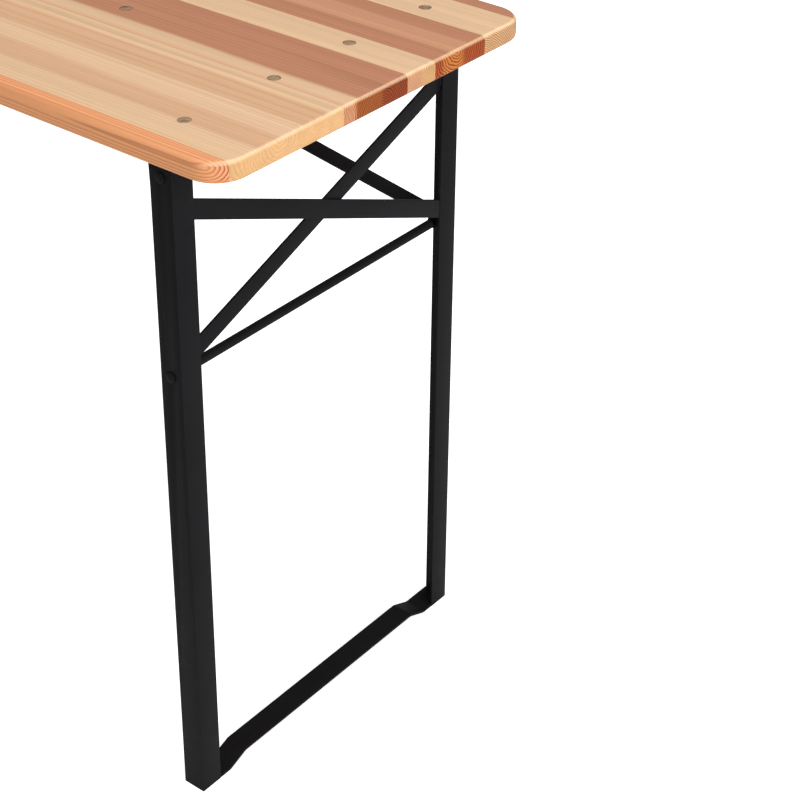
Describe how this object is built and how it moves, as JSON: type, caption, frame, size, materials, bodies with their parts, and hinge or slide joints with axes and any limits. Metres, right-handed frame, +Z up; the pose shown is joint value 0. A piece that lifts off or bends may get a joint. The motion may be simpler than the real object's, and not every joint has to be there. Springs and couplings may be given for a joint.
{
  "type": "folding table",
  "caption": "Long narrow folding table with a laminated wooden top, rounded corners and two black angle-steel leg frames that fold flat under it on hinges.",
  "frame": {"origin": "on the floor under the middle of the tabletop", "axes": "+X along the table's length towards end a, the end seen in the picture; +Y across its width; +Z up"},
  "size_m": [1.77, 0.46, 0.77],
  "materials": {
    "pale_wood": "clear satin varnish",
    "red_wood": "clear satin varnish",
    "black_steel": "black satin powder coat",
    "zinc_steel": "dull zinc plating",
    "spring_steel": "bright spring steel"
  },
  "bodies": {
    "tabletop": {"board_1": "red_wood", "board_2": "pale_wood", "board_3": "pale_wood", "board_4": "red_wood", "board_5": "pale_wood", "board_6": "red_wood", "board_7": "pale_wood", "board_8": "red_wood", "hinge_rail_a": "black_steel", "latch_bracket_a": "black_steel", "latch_spring_a": "spring_steel", "hinge_pin_a_front": "black_steel", "hinge_pin_a_rear": "black_steel", "rail_bolt_a_1": "zinc_steel", "rail_nut_a_1": "zinc_steel", "rail_bolt_a_2": "zinc_steel", "rail_nut_a_2": "zinc_steel", "rail_bolt_a_3": "zinc_steel", "rail_nut_a_3": "zinc_steel", "rail_bolt_a_4": "zinc_steel", "rail_nut_a_4": "zinc_steel", "latch_bolt_a_1": "zinc_steel", "latch_nut_a_1": "zinc_steel", "latch_bolt_a_2": "zinc_steel", "latch_nut_a_2": "zinc_steel", "hinge_rail_b": "black_steel", "latch_bracket_b": "black_steel", "latch_spring_b": "spring_steel", "hinge_pin_b_front": "black_steel", "hinge_pin_b_rear": "black_steel", "rail_bolt_b_1": "zinc_steel", "rail_nut_b_1": "zinc_steel", "rail_bolt_b_2": "zinc_steel", "rail_nut_b_2": "zinc_steel", "rail_bolt_b_3": "zinc_steel", "rail_nut_b_3": "zinc_steel", "rail_bolt_b_4": "zinc_steel", "rail_nut_b_4": "zinc_steel", "latch_bolt_b_1": "zinc_steel", "latch_nut_b_1": "zinc_steel", "latch_bolt_b_2": "zinc_steel", "latch_nut_b_2": "zinc_steel"},
    "leg_frame_a": {"leg_a_front": "black_steel", "leg_a_rear": "black_steel", "cross_bar_1_a": "black_steel", "cross_bar_2_a": "black_steel", "foot_bar_a": "black_steel", "brace_rod_a": "black_steel"},
    "leg_frame_b": {"leg_b_front": "black_steel", "leg_b_rear": "black_steel", "cross_bar_1_b": "black_steel", "cross_bar_2_b": "black_steel", "foot_bar_b": "black_steel", "brace_rod_b": "black_steel"},
    "brace_a": {"brace_arm_a_front": "black_steel", "brace_arm_a_rear": "black_steel", "brace_pin_a": "zinc_steel"},
    "brace_b": {"brace_arm_b_front": "black_steel", "brace_arm_b_rear": "black_steel", "brace_pin_b": "zinc_steel"}
  },
  "joints": [
    {"name": "leg_fold_a", "type": "hinge", "parent": "tabletop", "child": "leg_frame_a", "pos_m": [0.7965, 0, 0.728], "axis": [0, 1, 0], "range_deg": [0, 90]},
    {"name": "brace_swing_a", "type": "hinge", "parent": "leg_frame_a", "child": "brace_a", "pos_m": [0.796, 0, 0.5175], "axis": [0, 1, 0], "range_deg": [-131, 0]},
    {"name": "leg_fold_b", "type": "hinge", "parent": "tabletop", "child": "leg_frame_b", "pos_m": [-0.7965, 0, 0.728], "axis": [0, -1, 0], "range_deg": [0, 90]},
    {"name": "brace_swing_b", "type": "hinge", "parent": "leg_frame_b", "child": "brace_b", "pos_m": [-0.796, 0, 0.5175], "axis": [0, -1, 0], "range_deg": [-131, 0]}
  ],
  "couplings": [
    {"joint": "brace_swing_a", "follows": "leg_fold_a", "ratio": -1.452},
    {"joint": "brace_swing_b", "follows": "leg_fold_b", "ratio": -1.452}
  ]
}
